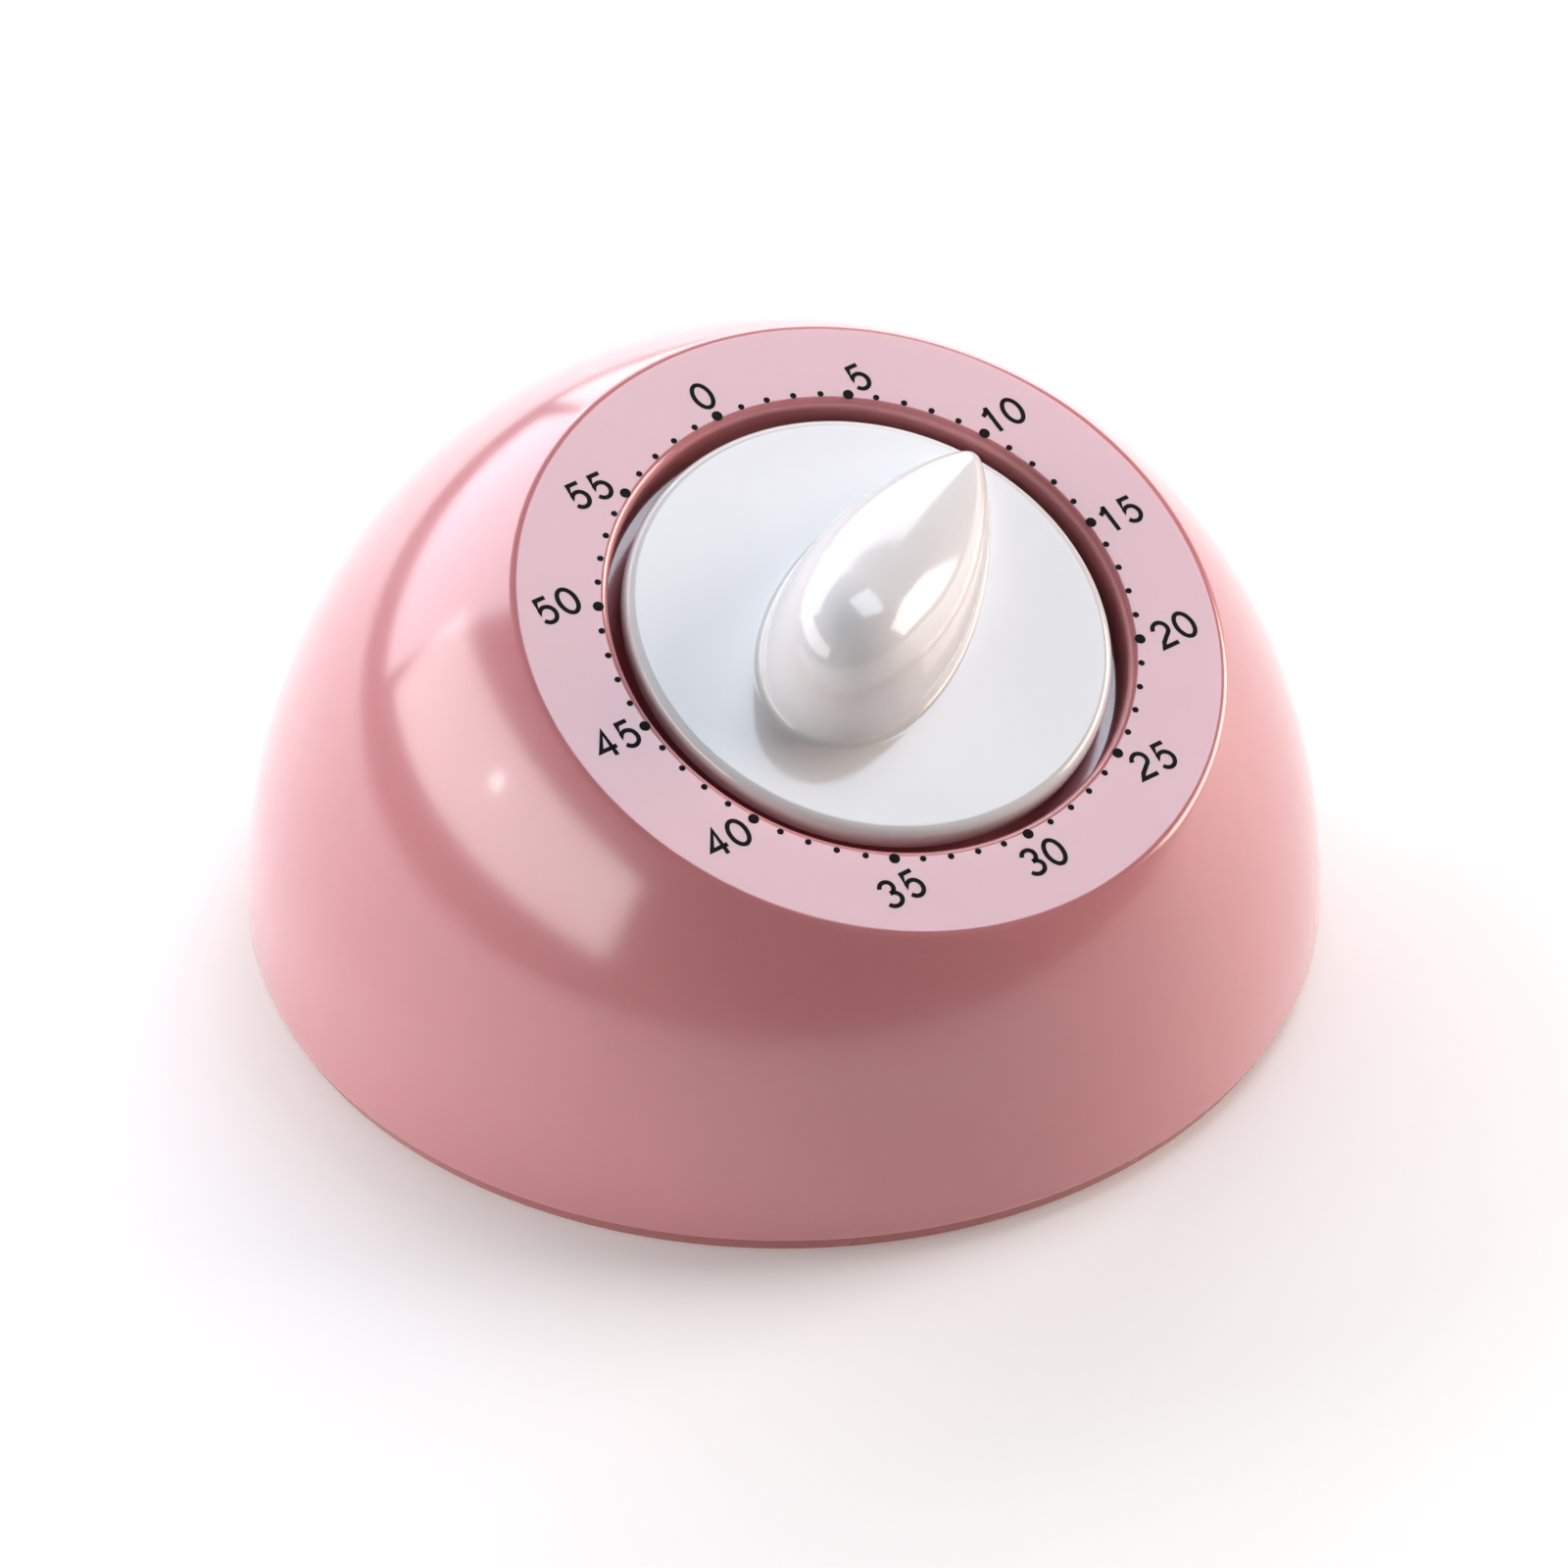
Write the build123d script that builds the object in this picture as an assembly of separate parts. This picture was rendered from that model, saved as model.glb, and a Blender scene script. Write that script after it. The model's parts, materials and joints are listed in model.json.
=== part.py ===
from build123d import *
from math import acos, asin, atan2, cos, degrees, hypot, pi, radians, sin
import os

# Mechanical kitchen timer. Millimetres, +Z up, the dial leans towards -Y.
# z = 0 is the surface it stands on, x = y = 0 is the middle of the round base.
# The movement is drawn in the dial's own frame: x right, y up the dial, z out of the dial.

# driving dimensions of the case
foot_stand = 0.5          # the rubber feet hold the case this far off the table
dome_radius = 43.3
dome_top = 48.51
dome_waist = 1.07         # height of the widest ring
dome_power = 2.0854       # 2 would be an ellipse
shell_wall = 1.8
shell_bottom = 1.45
cover_top = 1.35          # the cover's visible rim ends here, 0.1 under the shell
dial_tilt = 21.589
dial_y = -11.368
dial_z = 35.495
dial_edge_round = 0.8

# well under the knob
well_radius = 20.8
well_floor = -3.6
well_wall = 1.8
hub_hole_radius = 3.6

# knob
disc_radius = 19.54
disc_bottom = -2.0
disc_edge_round = 0.9
hub_radius = 3.0
hub_bottom = -7.6
rest_angle = 60.75        # pointer at rest, clockwise from 0
travel = 352.0            # degrees between the two stops
lug_radius = 16.0
lug_size = 0.9

# teardrop grip, measured along its own pointer axis from the dial's middle
grip_tip = 19.2
grip_back = -13.2
grip_half_width = 9.2
grip_taper = 0.7          # 0 would be an ellipse
grip_nose = 0.05          # keeps the nose round
grip_crown = -3.5         # where the ridge is roundest
grip_back_height = 11.5
grip_tip_height = 3.8
grip_fall = 1.3           # above 1 the ridge stays high for longer
grip_cross_power = 2.3    # 2 would be an elliptical cross-section
grip_end_power = 2.6      # roundness of the two ends

# screw and foot circles
screw_circle = 19.5
pillar_circle = 21.6
base_circle = 36.0
foot_circle = 33.0
screw_boss = 2.3
base_boss = 2.6
foot_radius = 4.0

# movement plates
plate_radius = 23.2
front_top = -8.0
front_bottom = -9.0
back_top = -18.0
back_bottom = -19.0
arbor_radius = 1.5
run_gap = 0.05            # running clearance in a pivot hole

# wheels: teeth and module of each pair
main_teeth, second_pinion_teeth, main_module = 60, 10, 0.40
second_teeth, third_pinion_teeth, second_module = 50, 10, 0.35
third_teeth, escape_pinion_teeth, third_module = 48, 8, 0.30
escape_teeth, escape_radius = 20, 5.0

# arbor directions, degrees from the dial's x axis, each seen from the arbor before it
second_way = 90.0
third_way = -17.0
escape_way = -59.0
anchor_way = -64.0
balance_way = -104.5
anchor_distance = 7.02
balance_distance = 6.0

# bell and hammer
bell_at = (0.0, 8.0)
bell_radius = 16.0
bell_wall = 0.8
bell_mouth = -21.0
bell_back = -29.0
hammer_at = (-12.5, -8.0)
head_at = (-12.6, 3.0)
trip_at = (-6.5, -12.0)
leaf_post_at = (-17.2, -11.5)

dial = Plane(origin=(0, dial_y, dial_z), x_dir=(1, 0, 0),
             z_dir=(0, -sin(radians(dial_tilt)), cos(radians(dial_tilt))))
stand = Location((0, 0, foot_stand))


def polar(radius, angle, centre=(0.0, 0.0)):
    """Point at an angle in degrees from the x axis."""
    return (centre[0] + radius * cos(radians(angle)), centre[1] + radius * sin(radians(angle)))


def centre_distance(teeth, pinion_teeth, module):
    return module * (teeth + pinion_teeth) / 2


main_at = (0.0, 0.0)
second_at = polar(centre_distance(main_teeth, second_pinion_teeth, main_module), second_way)
third_at = polar(centre_distance(second_teeth, third_pinion_teeth, second_module), third_way, second_at)
escape_at = polar(centre_distance(third_teeth, escape_pinion_teeth, third_module), escape_way, third_at)
anchor_at = polar(anchor_distance, anchor_way, escape_at)
balance_at = polar(balance_distance, balance_way, anchor_at)
stud_at = polar(4.4, 0, balance_at)
spring_post_at = polar(10.3, 180)

screw_places = [polar(screw_circle, angle) for angle in (30, 150, 270)]
pillar_places = [polar(pillar_circle, angle) for angle in (22, 120, 195, 300)]
base_places = [polar(base_circle, angle) for angle in (90, 210, 330)]
foot_places = [polar(foot_circle, angle) for angle in (30, 150, 270)]


# ---- helpers -------------------------------------------------------------

def rod(at, low, high, radius):
    """Round bar between two heights."""
    return Pos(at[0], at[1], (low + high) / 2) * Cylinder(radius, high - low)


def ring(at, low, high, outer, inner):
    return rod(at, low, high, outer) - rod(at, low - 1, high + 1, inner)


def link(start, end, half_width, low, high):
    """Flat bar with round ends between two points."""
    length = hypot(end[0] - start[0], end[1] - start[1])
    turn = degrees(atan2(end[1] - start[1], end[0] - start[0]))
    middle = ((start[0] + end[0]) / 2, (start[1] + end[1]) / 2, (low + high) / 2)
    bar = Pos(*middle) * Rot(0, 0, turn) * Box(length, 2 * half_width, high - low)
    return bar + rod(start, low, high, half_width) + rod(end, low, high, half_width)


def turned(points):
    """Solid of revolution about Z from (radius, height) corners."""
    corners = [(radius, 0, height) for radius, height in points]
    return revolve(make_face(Polyline(*corners, close=True)), Axis.Z)


def save(name, *solids, on_dial=True):
    """Write one node: the movement's pieces are tilted onto the dial first."""
    placed = []
    for solid in solids:
        moved = dial.location * solid if on_dial else solid
        placed.append(stand * moved)
    shape = placed[0] if len(placed) == 1 else Compound(children=placed)
    export_step(shape, f"parts/{name}.step")


# ---- case ----------------------------------------------------------------

def dome(shrink, low):
    """Full dome, a superellipse turned about Z, before the dial is cut."""
    radius = dome_radius - shrink
    rise = dome_top - shrink - dome_waist
    start = asin(((low - dome_waist) / rise) ** (dome_power / 2))
    outline = []
    for step in range(13):
        t = start + (pi / 2 - start) * step / 12
        across = radius * max(cos(t), 0.0) ** (2 / dome_power)
        outline.append((across, 0, dome_waist + rise * sin(t) ** (2 / dome_power)))
    outline[-1] = (0, 0, dome_waist + rise)
    curve = Spline(*outline, tangents=((0, 0, 1), (-1, 0, 0)))
    closing = Polyline(outline[-1], (0, 0, low), outline[0])
    return revolve(make_face(curve + closing), Axis.Z)


def above_dial(height):
    """Everything more than this height above the dial plane."""
    return dial.location * Pos(0, 0, height + 30) * Box(140, 140, 60)


def dome_shell():
    outside = dome(0.0, shell_bottom) - above_dial(0.0)
    inside = dome(shell_wall, shell_bottom - 0.2) - above_dial(-shell_wall)
    shell = outside - inside
    shell += dial.location * rod(main_at, well_floor - well_wall, -0.5, well_radius + well_wall)
    shell -= dial.location * rod(main_at, well_floor, 1.0, well_radius)
    for place in screw_places:
        shell += dial.location * rod(place, front_top, well_floor - 1, screw_boss)
    for place in base_places:
        shell += rod(place, 2.4, 40, base_boss) & (dome(0.6, shell_bottom) - above_dial(-0.6))
        shell -= rod(place, 2.0, 11.0, 1.1)
    shell -= dial.location * rod(main_at, front_top - 1, 0, hub_hole_radius)
    for place in screw_places:
        shell -= dial.location * rod(place, front_top - 1, front_top + 3.4, 0.8)
    rims = [edge for edge in shell.edges() if edge.geom_type != GeomType.LINE
            and all(abs(dial.to_local_coords(edge @ share).Z) < 0.01 for share in (0.1, 0.45, 0.8))]
    shell = fillet(rims, dial_edge_round)
    shell += dial.location * stop_rib()
    return shell


def stop_rib():
    """Rib on the well's floor that ends the knob's travel, at the dial's 30 mark."""
    centre = polar(lug_radius, -90)
    low = well_floor - 0.2
    high = disc_bottom - 0.5
    return Pos(centre[0], centre[1], (low + high) / 2) * Box(lug_size, 3.0, high - low)


def base_cover():
    cover = turned([(0, 0.6), (40.2, 0.6), (40.8, 0), (42.5, 0), (43.0, cover_top),
                    (41.3, cover_top), (41.3, 3.4), (39.8, 3.4), (39.8, 2.2), (0, 2.2)])
    for place in base_places:
        cover += rod(place, 0.6, 2.35, 3.6)
        cover -= rod(place, -1, 3, 1.4)
        cover -= rod(place, -1, 1.3, 2.6)
    for place in foot_places:
        cover -= rod(place, 0, 0.9, foot_radius + 0.1)
    for offset in (-10, -5, 0, 5, 10):
        length = 20 - abs(offset)
        cover -= link((offset, 2 - length / 2), (offset, 2 + length / 2), 1.0, 0, 3)
    return cover


def self_tapping_screw(at, seat, tip, head_radius, shank_radius, up):
    """Pan head with a cross recess; 'up' is +1 when the shank points up."""
    head = rod(at, min(seat, seat - up), max(seat, seat - up), head_radius)
    shank = rod(at, min(seat, tip), max(seat, tip), shank_radius)
    slot = Pos(at[0], at[1], seat - up) * (Box(head_radius * 1.2, 0.45, 1.0)
                                           + Box(0.45, head_radius * 1.2, 1.0))
    return head + shank - slot


def base_screws():
    return [self_tapping_screw(place, 1.3, 10.0, 2.3, 1.05, 1) for place in base_places]


def rubber_feet():
    pads = []
    for place in foot_places:
        pad = rod(place, -foot_stand, 0.9, foot_radius)
        pads.append(chamfer(pad.faces().sort_by(Axis.Z)[0].edges(), 0.3))
    return pads


# ---- knob ----------------------------------------------------------------

def grip_rim(turn):
    """Point of the teardrop's outline, from the tip (0) all the way round."""
    middle = (grip_tip + grip_back) / 2
    along = middle + (grip_tip - middle) * cos(turn)
    narrowing = (sin(turn / 2) ** 2 + grip_nose) ** (grip_taper / 2)
    return along, grip_half_width * sin(turn) * narrowing


def ridge_height(along):
    """The ridge falls from the round end towards the tip."""
    share = (along - grip_back) / (grip_tip - grip_back)
    return grip_back_height + (grip_tip_height - grip_back_height) * share ** grip_fall


def grip_surface(along, across):
    """Height of the grip above the disc."""
    middle = (grip_tip + grip_back) / 2
    turn = acos(max(-1.0, min(1.0, (along - middle) / (grip_tip - middle))))
    end = grip_tip if along > grip_crown else grip_back
    to_end = min((along - grip_crown) / (end - grip_crown), 1.0)
    to_side = min(abs(across) / max(grip_rim(turn)[1], 1e-6), 1.0)
    rounding = (1 - to_end ** grip_end_power) ** (1 / grip_end_power)
    rounding *= (1 - to_side ** grip_cross_power) ** (1 / grip_cross_power)
    return ridge_height(along) * rounding


def grip_reach(rim, height):
    """Share of the way from the crown to the rim at which the grip is still this high."""
    near, far = 0.0, 1.0
    for _ in range(30):
        share = (near + far) / 2
        surface = grip_surface(grip_crown + (rim[0] - grip_crown) * share, rim[1] * share)
        near, far = (share, far) if surface > height else (near, share)
    return near


def grip_section(height, level):
    """Level cut through the grip: the outline it has at a height, drawn at 'level'."""
    points = []
    for step in range(24):
        rim = grip_rim(2 * pi * step / 24)
        reach = grip_reach(rim, height)
        points.append((grip_crown + (rim[0] - grip_crown) * reach, rim[1] * reach, level))
    return make_face(Spline(*points, periodic=True))


def knob():
    turn = Rot(0, 0, 90 - rest_angle)
    disc = rod(main_at, disc_bottom, 0, disc_radius)
    disc = fillet(disc.faces().sort_by(Axis.Z)[-1].edges(), disc_edge_round)
    top = ridge_height(grip_crown)
    sections = [grip_section(0.0, -0.4)]
    for share in (0.12, 0.3, 0.5, 0.7, 0.85, 0.96):
        sections.append(grip_section(top * share, top * share))
    grip = loft(sections)
    body = disc + turn * grip + rod(main_at, hub_bottom, disc_bottom + 0.2, hub_radius)
    body += lug()
    bore = rod(main_at, hub_bottom - 1, -0.8, arbor_radius + 0.03)
    flat = turn * Pos(0, arbor_radius + 0.53, -4) * Box(4, 2, 12)
    return body - (bore - flat)


def lug():
    """Lug under the disc that meets the stop rib at both ends of the travel."""
    clockwise = rest_angle + 180 + (360 - travel) / 2
    centre = polar(lug_radius, 90 - clockwise)
    low = well_floor + 0.4
    block = Box(3.0, lug_size, disc_bottom + 0.2 - low)
    return Pos(centre[0], centre[1], (low + disc_bottom + 0.2) / 2) * Rot(0, 0, 90 - clockwise) * block


def main_arbor():
    arbor = rod(main_at, back_bottom - 0.6, -1.2, arbor_radius)
    arbor += rod(main_at, -10.2, -9.3, 2.4)
    arbor -= ring(main_at, back_bottom - 0.45, back_bottom - 0.15, 3, 1.1)
    turn = Rot(0, 0, 90 - rest_angle)
    arbor -= turn * Pos(0, arbor_radius + 0.5, -4.2) * Box(4, 2, 8)
    return arbor


def arbor_clip():
    clip = ring(main_at, back_bottom - 0.43, back_bottom - 0.17, 2.6, 1.12)
    return clip - Pos(0, 2, back_bottom) * Box(1.6, 4, 3)


def clutch_washer():
    return turned([(arbor_radius + 0.02, -11.6), (2.4, -11.7), (4.4, -11.35), (4.4, -11.2),
                   (3.9, -11.22), (2.4, -11.5), (arbor_radius + 0.02, -11.4)])


def strike_cam():
    """Round cam with one step, which lets the hammer go at zero."""
    cam = rod(main_at, -17.7, -17.0, 5.0)
    cam -= Rot(0, 0, 200) * Pos(5.4, 0, -17.35) * Box(3.2, 1.6, 2)
    return cam - rod(main_at, -19, -16, arbor_radius + 0.01)


# ---- going train ---------------------------------------------------------

def toothed(teeth, module, turn, low, high, pinion=False):
    """Straight-flanked clock tooth form with room for backlash."""
    pitch_radius = teeth * module / 2
    if pinion:
        rows = ((-1.35, 0.34), (0.0, 0.36), (0.70, 0.16))
    else:
        rows = ((-1.35, 0.48), (0.0, 0.40), (0.95, 0.14))
    step = 360 / teeth
    points = []
    for tooth in range(teeth):
        middle = turn + tooth * step
        for rise, width in rows:
            points.append(polar(pitch_radius + rise * module, middle - step * width / 2))
        for rise, width in reversed(rows):
            points.append(polar(pitch_radius + rise * module, middle + step * width / 2))
    outline = make_face(Polyline(*points, close=True))
    return Pos(0, 0, low) * extrude(outline, high - low)


def spoked(solid, low, high, rim_inside, hub, spokes, half_spoke):
    """Cut the windows between the spokes of a wheel centred on Z."""
    window = ring(main_at, low - 1, high + 1, rim_inside, hub)
    for arm in range(spokes):
        window -= link(main_at, polar(rim_inside + 2, arm * 360 / spokes + 15), half_spoke, low - 2, high + 2)
    return solid - window


def at(place, solid):
    return Pos(place[0], place[1], 0) * solid


def facing(teeth, angle):
    """Turn that puts a gap of the follower opposite a tooth of the driver."""
    return angle + 180 + 180 / teeth


def arbor(place, radius):
    """Arbor with a thinner pivot at each end, in the plates' holes."""
    return rod(place, back_top + 0.1, front_bottom - 0.1, radius) + rod(
        place, back_bottom + 0.1, front_top - 0.1, 0.35)


def main_wheel():
    wheel = toothed(main_teeth, main_module, second_way, -11.2, -10.2)
    wheel = spoked(wheel, -11.2, -10.2, 9.6, 4.4, 4, 1.3)
    return wheel - rod(main_at, -12, -10, arbor_radius + 0.02)


def train_wheel(place, teeth, module, turn, low, high, radius, spokes):
    rim_inside = (teeth / 2 - 3.4) * module
    wheel = spoked(toothed(teeth, module, turn, low, high), low, high, rim_inside, 2.2, spokes, 0.55)
    return at(place, wheel - rod(main_at, low - 1, high + 1, radius))


def pinion_arbor(place, radius, teeth, module, turn, low, high):
    return arbor(place, radius) + at(place, toothed(teeth, module, turn, low, high, pinion=True))


def second_wheel():
    return train_wheel(second_at, second_teeth, second_module, third_way, -9.9, -9.4, 0.7, 4)


def second_arbor():
    turn = facing(second_pinion_teeth, second_way)
    return pinion_arbor(second_at, 0.7, second_pinion_teeth, main_module, turn, -11.5, -10.0)


def third_wheel():
    return train_wheel(third_at, third_teeth, third_module, escape_way, -17.7, -17.1, 0.6, 4)


def third_arbor():
    turn = facing(third_pinion_teeth, third_way)
    return pinion_arbor(third_at, 0.6, third_pinion_teeth, second_module, turn, -10.2, -9.25)


def escape_wheel():
    """Wheel with hooked, forward-leaning teeth."""
    points = []
    step = 360 / escape_teeth
    for tooth in range(escape_teeth):
        points.append(polar(3.7, tooth * step))
        points.append(polar(escape_radius, tooth * step + 0.30 * step))
        points.append(polar(escape_radius, tooth * step + 0.42 * step))
        points.append(polar(3.75, tooth * step + 0.40 * step))
    blank = Pos(0, 0, -14.0) * extrude(make_face(Polyline(*points, close=True)), 0.6)
    wheel = spoked(blank, -14.0, -13.4, 3.0, 1.3, 3, 0.4)
    return at(escape_at, wheel - rod(main_at, -15, -13, 0.5))


def escape_arbor():
    turn = facing(escape_pinion_teeth, escape_way)
    return pinion_arbor(escape_at, 0.5, escape_pinion_teeth, third_module, turn, -17.85, -16.9)


# ---- escapement ----------------------------------------------------------

def pallet_places():
    """Two pins, one each side of the line back to the escape wheel."""
    back = anchor_way + 180
    return [polar(4.5, back + side * 54, anchor_at) for side in (-1, 1)]


def anchor_lever():
    lever = rod(anchor_at, -15.1, -14.5, 1.3)
    for place in pallet_places():
        lever += link(anchor_at, place, 0.6, -15.1, -14.5)
    for side in (-1, 1):
        root = polar(0.8, balance_way + side * 30, anchor_at)
        lever += link(root, polar(3.4, balance_way + side * 12, anchor_at), 0.3, -15.1, -14.5)
    return lever - rod(anchor_at, -16, -14, 0.5)


def pallet_pins():
    return [rod(place, -14.5, -13.1, 0.25) for place in pallet_places()]


def balance_wheel():
    wheel = ring(main_at, -12.8, -12.0, 5.0, 0.4)
    return at(balance_at, spoked(wheel, -12.8, -12.0, 4.0, 1.1, 3, 0.4))


def impulse_roller():
    roller = ring(balance_at, -13.2, -12.8, 2.0, 0.4)
    return roller + rod(polar(1.5, balance_way + 180, balance_at), -15.3, -13.2, 0.22)


def hairspring_collet():
    return ring(balance_at, -11.7, -11.0, 0.85, 0.4)


def spiral(place, inner, outer, turns, thickness, low, high):
    """Flat spiral strip, from the arbor outwards."""
    steps = int(turns * 8)
    sides = []
    for shift in (-thickness / 2, thickness / 2):
        side = []
        for step in range(steps + 1):
            share = step / steps
            side.append(polar(inner + (outer - inner) * share + shift, 360 * turns * share, place))
        sides.append(side)
    near, far = sides
    outline = Spline(*near) + Line(near[-1], far[-1]) + Spline(*reversed(far)) + Line(far[0], near[0])
    return Pos(0, 0, low) * extrude(make_face(outline), high - low)


def mainspring():
    return spiral(main_at, 1.8, 9.1, 8.5, 0.3, -16.4, -12.4)


def hairspring():
    return spiral(balance_at, 1.05, 3.9, 6, 0.12, -11.55, -11.15)


# ---- plates and what holds them -----------------------------------------

def train_places():
    return [second_at, third_at, escape_at, anchor_at, balance_at, hammer_at]


def plate(low, high, bore):
    blank = rod(main_at, low, high, plate_radius)
    for place in train_places():
        blank -= rod(place, low - 1, high + 1, 0.35 + run_gap)
    return blank - rod(main_at, low - 1, high + 1, bore)


def front_plate():
    blank = plate(front_bottom, front_top, 3.0)
    for place in screw_places:
        blank -= rod(place, front_bottom - 1, front_top + 1, 1.2)
    for place in pillar_places:
        blank -= rod(place, front_bottom - 1, front_top + 1, 0.8)
    return blank - rod(stud_at, front_bottom - 1, front_top + 1, 0.45)


def back_plate():
    blank = plate(back_bottom, back_top, 2.6)
    for place in pillar_places:
        blank -= rod(place, back_bottom - 1, back_top + 1, 1.1)
    for place in (spring_post_at, leaf_post_at, trip_at, bell_at):
        blank -= rod(place, back_bottom - 1, back_top + 1, 0.8)
    blank -= link(polar(5.5, 160, hammer_at), polar(5.5, 200, hammer_at), 1.2, back_bottom - 1, back_top + 1)
    return blank


def plate_pillars():
    pillars = []
    for place in pillar_places:
        pillar = rod(place, back_top, front_bottom, 1.3) + rod(place, front_bottom, front_top + 0.2, 0.78)
        pillars.append(pillar - rod(place, back_top - 1, back_top + 4, 0.8))
    return pillars


def pillar_screws():
    screws = []
    for place in pillar_places:
        screw = rod(place, back_bottom - 0.9, back_bottom, 1.7)
        screw += rod(place, back_bottom, back_top + 3.5, 0.78)
        screws.append(screw - Pos(place[0], place[1], back_bottom - 0.9) * Box(4, 0.4, 0.8))
    return screws


def movement_screws():
    return [self_tapping_screw(place, front_bottom, front_top + 3.2, 1.7, 0.78, 1) for place in screw_places]


def bushing(low, high, outer, flange):
    body = ring(main_at, low, high, outer, arbor_radius + run_gap)
    return body + ring(main_at, high - 0.001, high + 0.25, flange, arbor_radius + run_gap)


def front_bushing():
    return bushing(front_bottom, front_top, 3.0, 3.3)


def back_bushing():
    return ring(main_at, back_bottom, back_top + 0.1, 2.6, arbor_radius + run_gap)


def riveted_post(place, top, radius):
    return rod(place, back_top, top, radius) + rod(place, back_bottom, back_top, 0.78)


def spring_post():
    return riveted_post(spring_post_at, -12.2, 0.85)


def hairspring_stud():
    return rod(stud_at, -11.6, front_bottom, 0.5) + rod(stud_at, front_bottom, front_top, 0.44)


# ---- bell and hammer -----------------------------------------------------

def bell():
    """Shallow spun gong with its mouth towards the back plate."""
    outer = bell_radius
    inner = outer - bell_wall
    cup = turned([(0, bell_back), (outer - 3, bell_back), (outer - 0.9, bell_back + 1.0),
                  (outer, bell_back + 3), (outer, bell_mouth), (inner, bell_mouth), (inner, bell_back + 3.2),
                  (outer - 1.5, bell_back + 1.7), (outer - 3.2, bell_back + bell_wall),
                  (0, bell_back + bell_wall)])
    return at(bell_at, cup - rod(main_at, bell_back - 1, bell_back + 2, 1.25))


def bell_post():
    post = rod(bell_at, bell_back + bell_wall, back_bottom, 2.0)
    post += rod(bell_at, back_bottom, back_top + 0.2, 0.78)
    return post - rod(bell_at, bell_back - 1, bell_back + 5.5, 1.1)


def bell_screw():
    screw = rod(bell_at, bell_back - 1.1, bell_back, 2.4) + rod(bell_at, bell_back, bell_back + 5, 1.08)
    return screw - Pos(bell_at[0], bell_at[1], bell_back - 1.1) * Box(6, 0.5, 1.0)


def hammer_arbor():
    body = rod(hammer_at, back_top + 0.1, front_bottom - 0.1, 0.7) + rod(
        hammer_at, -20.6, front_top - 0.1, 0.35)
    return body + rod(hammer_at, -14.6, -12.6, 1.2)


def hammer_arm():
    arm = link(hammer_at, head_at, 0.7, -20.4, -19.8)
    return arm - rod(hammer_at, -21, -19, 0.36)


def hammer_head():
    return rod(head_at, -24.6, -20.4, 1.0)


def hammer_tail():
    tail = link(hammer_at, (-12.0, -10.6), 0.5, -17.7, -17.1)
    tail += rod(hammer_at, -17.7, -17.1, 1.2)
    return tail - rod(hammer_at, -18, -17, 0.7)


def hammer_spring():
    """Leaf spring from its post to the flat side of the hammer arbor's collar."""
    start = (leaf_post_at[0] + 0.4, leaf_post_at[1] + 1.1)
    end = (hammer_at[0] - 1.45, hammer_at[1] + 1.6)
    return link(start, end, 0.12, -14.5, -12.7)


def leaf_post():
    return riveted_post(leaf_post_at, -12.5, 0.9)


def trip_stud():
    return riveted_post(trip_at, -16.75, 0.7) + rod(trip_at, -16.75, -16.5, 1.2)


def trip_lever():
    """Bell crank: one nose near the cam, the other arm near the hammer's tail."""
    lever = rod(trip_at, -17.7, -17.1, 1.6)
    lever += link(trip_at, (-2.7, -5.4), 0.5, -17.7, -17.1)
    lever += link(trip_at, (-10.0, -12.6), 0.5, -17.7, -17.1)
    return lever - rod(trip_at, -18, -17, 0.7 + run_gap)


os.makedirs("parts", exist_ok=True)

save("dome_shell", dome_shell(), on_dial=False)
save("base_cover", base_cover(), on_dial=False)
save("base_screws", *base_screws(), on_dial=False)
save("rubber_feet", *rubber_feet(), on_dial=False)

save("knob", knob())
save("main_arbor", main_arbor())
save("arbor_clip", arbor_clip())
save("clutch_washer", clutch_washer())
save("strike_cam", strike_cam())
save("main_wheel", main_wheel())

save("second_wheel", second_wheel())
save("second_arbor", second_arbor())
save("third_wheel", third_wheel())
save("third_arbor", third_arbor())
save("escape_wheel", escape_wheel())
save("escape_arbor", escape_arbor())

save("anchor_lever", anchor_lever())
save("anchor_arbor", arbor(anchor_at, 0.5))
save("pallet_pins", *pallet_pins())
save("balance_wheel", balance_wheel())
save("balance_staff", arbor(balance_at, 0.4))
save("impulse_roller", impulse_roller())
save("hairspring_collet", hairspring_collet())
save("hairspring", hairspring())
save("hairspring_stud", hairspring_stud())
save("mainspring", mainspring())
save("spring_post", spring_post())

save("front_plate", front_plate())
save("back_plate", back_plate())
save("plate_pillars", *plate_pillars())
save("pillar_screws", *pillar_screws())
save("movement_screws", *movement_screws())
save("front_bushing", front_bushing())
save("back_bushing", back_bushing())

save("bell", bell())
save("bell_post", bell_post())
save("bell_screw", bell_screw())
save("hammer_arbor", hammer_arbor())
save("hammer_arm", hammer_arm())
save("hammer_head", hammer_head())
save("hammer_tail", hammer_tail())
save("hammer_spring", hammer_spring())
save("leaf_post", leaf_post())
save("trip_stud", trip_stud())
save("trip_lever", trip_lever())
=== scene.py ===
import json
import math

import bmesh
import bpy
from mathutils import Matrix, Vector


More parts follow.
